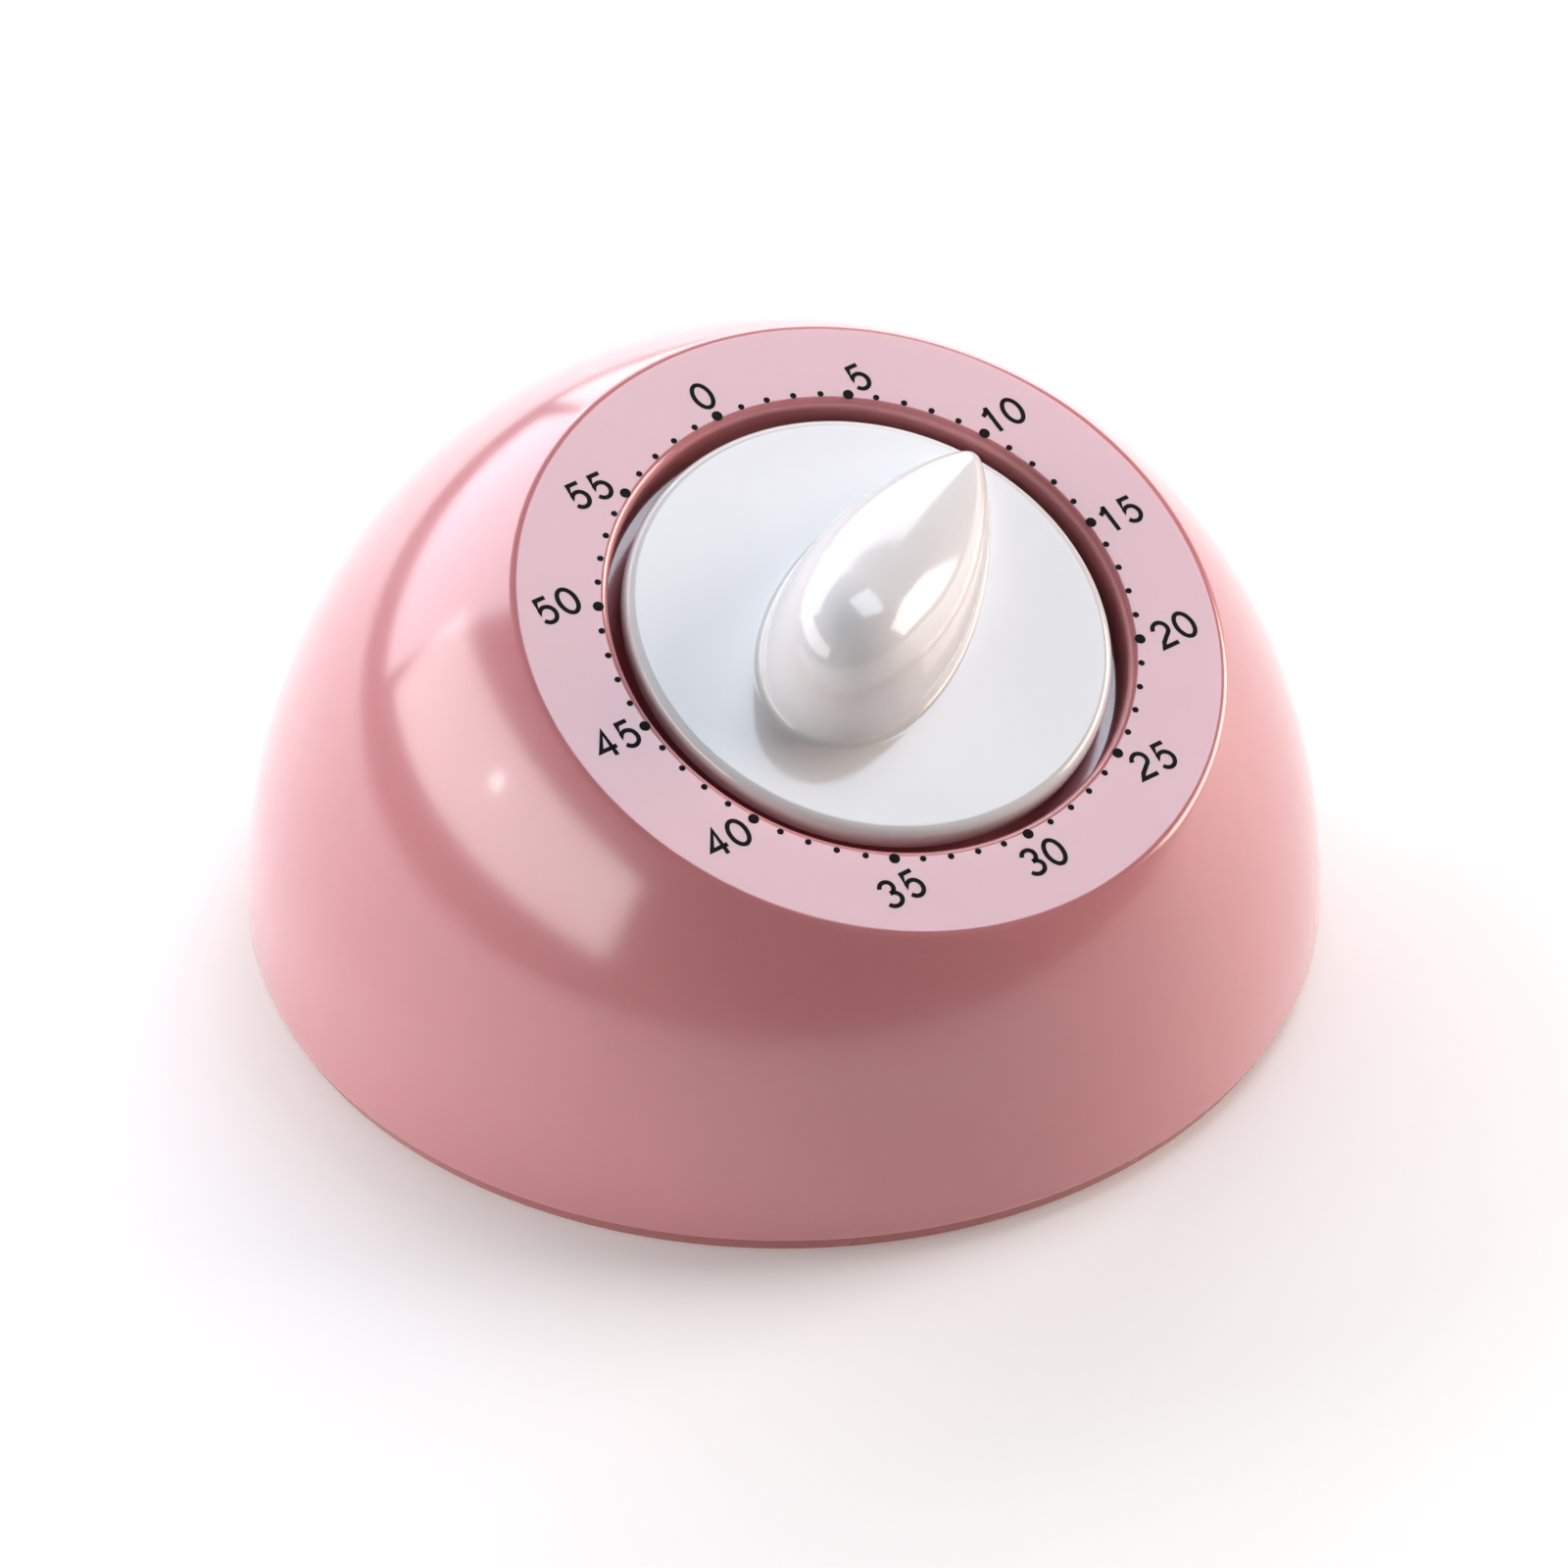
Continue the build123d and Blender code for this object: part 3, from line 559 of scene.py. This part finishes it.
def gripHeight(along, across):
    s = knobShape
    middle = (s["gripTip"] + s["gripBack"]) / 2
    turn = math.acos(max(-1.0, min(1.0, (along - middle) / (s["gripTip"] - middle))))
    end = s["gripTip"] if along > s["crown"] else s["gripBack"]
    toEnd = min((along - s["crown"]) / (end - s["crown"]), 1.0)
    toSide = min(abs(across) / max(gripRim(turn).y, 1e-6), 1.0)
    rounding = (1 - toEnd ** s["endPower"]) ** (1 / s["endPower"])
    rounding *= (1 - toSide ** s["crossPower"]) ** (1 / s["crossPower"])
    share = (along - s["gripBack"]) / (s["gripTip"] - s["gripBack"])
    return (s["backHeight"] + (s["tipHeight"] - s["backHeight"]) * share ** s["fall"]) * rounding


def buildKnob():
    s = knobShape
    rim = [gripRim(2 * math.pi * i / s["segments"]) for i in range(s["segments"])]
    turns = [math.atan2(p.y, p.x) for p in rim]
    crown = Vector((s["crown"], 0, 0))
    outward = [(p - crown).normalized() for p in rim]

    def level(radius, height):
        return [polar(radius, turn, height) for turn in turns]

    rings = [level(radius, height) for radius, height in (
        (s["boreRadius"] * 0.5, -s["boreTop"]), (s["boreRadius"], -s["boreTop"]),
        (s["boreRadius"], -s["hubDepth"]),
        (s["hubRadius"] - s["hubEdge"], -s["hubDepth"]), (s["hubRadius"], -s["hubDepth"] + s["hubEdge"]),
        (s["hubRadius"], -s["discThick"]), (s["discRadius"] - s["underRing"], -s["discThick"]),
        (s["discRadius"] - s["underEdge"], -s["discThick"]),
        (s["discRadius"], -s["discThick"] + s["underEdge"]))]
    for step in range(s["edgeSteps"] + 1):
        bend = math.pi / 2 * step / s["edgeSteps"]
        rings.append(level(s["discRadius"] - s["discEdge"] * (1 - math.cos(bend)),
                           -s["discEdge"] * (1 - math.sin(bend))))
    flat = s["discRadius"] - s["discEdge"]
    for share in s["flatRings"]:
        rings.append([polar(flat, turn).lerp(p, share) for turn, p in zip(turns, rim)])
    for step in range(s["lipSteps"] + 1):
        bend = math.pi / 2 * step / s["lipSteps"]
        rings.append([p - o * s["lip"] * math.sin(bend) + Vector((0, 0, s["lip"] * (1 - math.cos(bend))))
                      for p, o in zip(rim, outward)])
    for step in range(1, s["levels"]):
        bend = math.pi / 2 * step / s["levels"]
        inward = math.cos(bend) ** (2 / s["crossPower"])
        ring = []
        for p, o in zip(rim, outward):
            # the full outline gives the height, the body itself stands inside the lip
            full = crown + (p - crown) * inward
            body = crown + (p - o * s["lip"] - crown) * inward
            rise = gripHeight(full.x, full.y)
            ring.append(Vector((body.x, body.y, s["lip"] + rise * (1 - s["lip"] / s["backHeight"]))))
        rings.append(ring)
    bm = bmesh.new()
    skin(bm, rings, capStart=True, capEnd=True)
    bmesh.ops.recalc_face_normals(bm, faces=bm.faces)
    return toObject(bm, "knobAndGrip",
                    dialPlace @ Matrix.Scale(mm, 4) @ Matrix.Rotation(math.pi / 2 - restAngle, 4, "Z"))


knobPiece = buildKnob()
finishPiece(knobPiece, "dial_knob", whiteAbs, replaced=["knob"])
shadeByAngle(knobPiece, knobShape["crease"])
print("timer: knob made")


# minute dots: a node tree sets them round the well, every fifth one larger

dotShape = {"count": 60, "ring": 21.72, "small": 0.26, "large": 0.44, "every": 5, "film": 0.02}


def dotTree():
    tree = bpy.data.node_groups.new("minuteDots", "GeometryNodeTree")
    sockets = (("Count", "NodeSocketInt", 60), ("Ring Radius", "NodeSocketFloat", 1.0),
               ("Small Radius", "NodeSocketFloat", 1.0), ("Large Radius", "NodeSocketFloat", 1.0),
               ("Every", "NodeSocketInt", 5), ("Film", "NodeSocketFloat", 1.0),
               ("Material", "NodeSocketMaterial", None))
    for label, kind, value in sockets:
        socket = tree.interface.new_socket(label, in_out="INPUT", socket_type=kind)
        if value is not None:
            socket.default_value = value
    tree.interface.new_socket("Geometry", in_out="OUTPUT", socket_type="NodeSocketGeometry")
    given = addNode(tree, "NodeGroupInput").outputs
    ring = addNode(tree, "GeometryNodeMeshCircle", {"Vertices": given["Count"],
                                                    "Radius": given["Ring Radius"]})
    disc = addNode(tree, "GeometryNodeMeshCylinder", {"Vertices": 20, "Radius": 1.0, "Depth": given["Film"]})
    index = addNode(tree, "GeometryNodeInputIndex")
    rest = addNode(tree, "ShaderNodeMath", {0: index.outputs["Index"], 1: given["Every"]}, operation="MODULO")
    isLarge = addNode(tree, "FunctionNodeCompare", {0: rest.outputs[0], 1: 0.5}, data_type="FLOAT",
                      operation="LESS_THAN")
    size = addNode(tree, "GeometryNodeSwitch", {"Switch": isLarge.outputs[0], "False": given["Small Radius"],
                                                "True": given["Large Radius"]}, input_type="FLOAT")
    scale = addNode(tree, "ShaderNodeCombineXYZ", {"X": size.outputs[0], "Y": size.outputs[0], "Z": 1.0})
    dots = addNode(tree, "GeometryNodeInstanceOnPoints", {"Points": ring.outputs["Mesh"],
                                                          "Instance": disc.outputs["Mesh"],
                                                          "Scale": scale.outputs["Vector"]})
    real = addNode(tree, "GeometryNodeRealizeInstances", {"Geometry": dots.outputs["Instances"]})
    inked = addNode(tree, "GeometryNodeSetMaterial", {"Geometry": real.outputs["Geometry"],
                                                      "Material": given["Material"]})
    addNode(tree, "NodeGroupOutput", {"Geometry": inked.outputs["Geometry"]})
    return tree


def runTree(name, tree, values):
    # a carrier object runs the tree once, and its result becomes the mesh
    piece = bpy.data.objects.new(name, bpy.data.meshes.new(name))
    bpy.context.scene.collection.objects.link(piece)
    modifier = piece.modifiers.new(name, "NODES")
    modifier.node_group = tree
    for item in tree.interface.items_tree:
        if item.item_type == "SOCKET" and item.in_out == "INPUT" and item.name in values:
            modifier[item.identifier] = values[item.name]
    return bakeModifiers(piece)


minuteDots = runTree("minuteDots", dotTree(), {
    "Count": dotShape["count"], "Ring Radius": dotShape["ring"] * mm, "Small Radius": dotShape["small"] * mm,
    "Large Radius": dotShape["large"] * mm, "Every": dotShape["every"], "Film": dotShape["film"] * 2 * mm,
    "Material": dialInk})
minuteDots.data.transform(dialPlace)
finishPiece(minuteDots, "case", dialInk, smooth=False)
print("timer: dots made")


# numerals: thin sans figures drawn as strokes, upright in the dial

figureShape = {"height": 2.45, "stroke": 0.37, "advance": 2.07, "ring": 24.3, "oneRing": 23.7, "film": 0.02,
               # the artwork sets the figures a little off their marks: millimetres right and up
               "nudge": {0: (0.0, 0.1), 5: (0.7, -0.7), 10: (0.1, -0.5), 15: (0.0, -0.4), 20: (0.8, 0.8),
                         25: (0.9, 0.4), 30: (-0.1, 0.3), 35: (0.2, -0.3), 40: (-0.6, 0.8), 45: (-0.1, 0.0),
                         50: (-0.7, 0.2), 55: (-1.2, -0.8)}}


def arc(x, y, radiusX, radiusY, start, end, count=20):
    # degrees, from start to end either way
    points = []
    for i in range(count + 1):
        turn = math.radians(start + (end - start) * i / count)
        points.append((x + radiusX * math.cos(turn), y + radiusY * math.sin(turn)))
    return points


figures = {          # strokes in a box one unit high, middle at 0, 0
    "0": [arc(0, 0, 0.29, 0.46, 90, 450, 40)],
    "1": [[(-0.19, 0.24), (-0.08, 0.29), (0.02, 0.38), (0.06, 0.50)], [(0.06, 0.50), (0.06, -0.50)]],
    "2": [arc(0, 0.19, 0.26, 0.27, 170, -38) + [(-0.16, -0.26), (-0.27, -0.45), (0.29, -0.45)]],
    "3": [arc(-0.01, 0.235, 0.23, 0.225, 165, -90), arc(-0.01, -0.215, 0.27, 0.245, 90, -160)],
    "4": [[(0.13, -0.50), (0.13, 0.44), (-0.30, -0.20), (0.30, -0.20)]],
    "5": [[(0.23, 0.45), (-0.15, 0.45), (-0.22, 0.00)] + arc(-0.01, -0.16, 0.27, 0.30, 135, -150)],
}


def strokeRibbon(bm, points, width, film):
    # a flat band along the points, mitred at the corners and closed on every side
    closed = (Vector(points[0]) - Vector(points[-1])).length < 1e-6
    line = [Vector(p) for p in (points[:-1] if closed else points)]
    count = len(line)
    sections = []
    for i, here in enumerate(line):
        before = line[i - 1] if closed or i > 0 else None
        after = line[(i + 1) % count] if closed or i < count - 1 else None
        hops = ((here - before) if before else None, (after - here) if after else None)
        ways = [hop.normalized() for hop in hops if hop is not None]
        way = sum(ways, Vector((0, 0))).normalized()
        side = Vector((-way.y, way.x))
        reach = width / 2 / max(side.dot(Vector((-ways[0].y, ways[0].x))), 0.5)
        sections.append([bm.verts.new((here.x + side.x * reach * a, here.y + side.y * reach * a, film * b))
                         for a, b in ((1, 1), (-1, 1), (-1, -1), (1, -1))])
    pairs = list(zip(sections, sections[1:])) + ([(sections[-1], sections[0])] if closed else [])
    for first, second in pairs:
        for k in range(4):
            m = (k + 1) % 4
            bm.faces.new((first[k], first[m], second[m], second[k]))
    if not closed:
        bm.faces.new(sections[0][::-1])
        bm.faces.new(sections[-1])


def buildNumerals():
    s = figureShape
    bm = bmesh.new()
    for fives in range(12):
        text = str(fives * 5)
        turn = math.pi / 2 - math.radians(fives * 30)
        ring = s["ring"] if len(text) > 1 else s["oneRing"]
        middle = polar(ring, turn) + Vector((*s["nudge"][fives * 5], 0))
        for place, figure in enumerate(text):
            x = middle.x + (place - (len(text) - 1) / 2) * s["advance"]
            for stroke in figures[figure]:
                placed = [(x + px * s["height"], middle.y + py * s["height"]) for px, py in stroke]
                strokeRibbon(bm, placed, s["stroke"], s["film"])
    bmesh.ops.recalc_face_normals(bm, faces=bm.faces)
    return toObject(bm, "numerals", dialPlace @ Matrix.Scale(mm, 4))


numerals = buildNumerals()
finishPiece(numerals, "case", dialInk, smooth=False)
print("timer: numerals made")


# finishes of the carried-over movement, fasteners and feet

finishes = {"feet_rubber": feetRubber, "wheel_brass": stampedBrass, "arbor_steel": turnedSteel,
            "plated_steel": zincSteel, "spring_steel": bluedSteel, "bell_steel": nickelSteel}
for part in frame["record"]["subparts"]:
    node = frame["nodes"][part["node"]]
    if part["material_slot"] in finishes:
        node.data.materials.clear()
        node.data.materials.append(finishes[part["material_slot"]])
print("timer: movement finished")


# studio

studio = {"floorSize": 6.0, "floorRows": 24, "floorColour": "F8F6F4", "floorTone": "F4F3F2", "toneScale": 3.0,
          "floorRough": 0.6, "floorGlow": 0.2, "worldColour": "FFD8BE", "worldStrength": 0.03}
lamps = {          # way it shines from: azimuth from +X and elevation, degrees; size and distance, metres
    "overhead": {"azimuth": 3.5, "elevation": 62.3, "distance": 0.9, "width": 0.42, "height": 0.42,
                 "power": 2.9, "colour": "E6F2FF"},
    "leftWindow": {"azimuth": 159, "elevation": 21, "distance": 0.75, "width": 1.15, "height": 0.28,
                   "power": 4.2, "colour": "FFFFFF"},
    "leftSpot": {"azimuth": 158, "elevation": 23.6, "distance": 0.7, "width": 0.03, "height": 0.03,
                 "power": 0.035, "colour": "FFFFFF"},
    "leftWall": {"azimuth": 97, "elevation": 24, "distance": 0.95, "width": 0.75, "height": 0.6,
                 "power": 5.4, "colour": "F6F4FF"},
    "back": {"azimuth": 52, "elevation": 20, "distance": 0.95, "width": 0.75, "height": 0.6,
             "power": 4.6, "colour": "FBFDFF"},
    "right": {"azimuth": -20, "elevation": 18, "distance": 0.9, "width": 0.6, "height": 0.4,
              "power": 6.2, "colour": "FFEBDD"},
}
view = {"azimuth": -36.556, "elevation": 38.771, "distance": 755.15, "targetHeight": 12.57, "lens": 216.4,
        "sensor": 36.0, "near": 0.05}


def buildStudio():
    bm = bmesh.new()
    half = studio["floorSize"] / 2
    rows = studio["floorRows"]
    spots = [half * (2 * i / rows - 1) for i in range(rows + 1)]
    grid = [[bm.verts.new((x, y, 0)) for x in spots] for y in spots]
    for lower, upper in zip(grid, grid[1:]):
        for i in range(rows):
            bm.faces.new((lower[i], lower[i + 1], upper[i + 1], upper[i]))
    floor = toObject(bm, "floor")
    material, tree, where = startMaterial("pale board, satin")
    tone = addNode(tree, "ShaderNodeTexNoise", {"Vector": where, "Scale": studio["toneScale"], "Detail": 2.0})
    colour = addNode(tree, "ShaderNodeMix", {"Factor": tone.outputs["Fac"], "A": linear(studio["floorColour"]),
                                             "B": linear(studio["floorTone"])}, data_type="RGBA")
    endMaterial(tree, {"Base Color": colour.outputs["Result"], "Roughness": studio["floorRough"],
                       "Emission Color": linear("FFFFFF"), "Emission Strength": studio["floorGlow"]})
    floor.data.materials.append(material)
    world = bpy.data.worlds.new("studio")
    world.use_nodes = True
    shade = world.node_tree.nodes["Background"]
    shade.inputs["Color"].default_value = linear(studio["worldColour"])
    shade.inputs["Strength"].default_value = studio["worldStrength"]
    bpy.context.scene.world = world
    aim = Vector((0, 0, view["targetHeight"] * mm))
    for name, lamp in lamps.items():
        light = bpy.data.lights.new(name, "AREA")
        light.shape = "RECTANGLE"
        light.size = lamp["width"]
        light.size_y = lamp["height"]
        light.energy = lamp["power"]
        light.color = linear(lamp["colour"])[:3]
        holder = bpy.data.objects.new(name, light)
        bpy.context.scene.collection.objects.link(holder)
        flat = math.cos(math.radians(lamp["elevation"]))
        way = polar(flat, math.radians(lamp["azimuth"]), math.sin(math.radians(lamp["elevation"])))
        holder.location = aim + way * lamp["distance"]
        holder.rotation_euler = way.to_track_quat("Z", "Y").to_euler()


def buildCamera():
    lens = bpy.data.cameras.new("camera")
    lens.lens = view["lens"]
    lens.sensor_width = view["sensor"]
    lens.clip_start = view["near"]
    camera = bpy.data.objects.new("camera", lens)
    bpy.context.scene.collection.objects.link(camera)
    turn, rise = math.radians(view["azimuth"]), math.radians(view["elevation"])
    way = Vector((math.sin(turn) * math.cos(rise), -math.cos(turn) * math.cos(rise), math.sin(rise)))
    camera.location = Vector((0, 0, view["targetHeight"] * mm)) + way * view["distance"] * mm
    camera.rotation_euler = way.to_track_quat("Z", "Y").to_euler()
    bpy.context.scene.camera = camera


buildStudio()
buildCamera()
bpy.context.scene.view_settings.view_transform = "Standard"
print("timer: studio made")
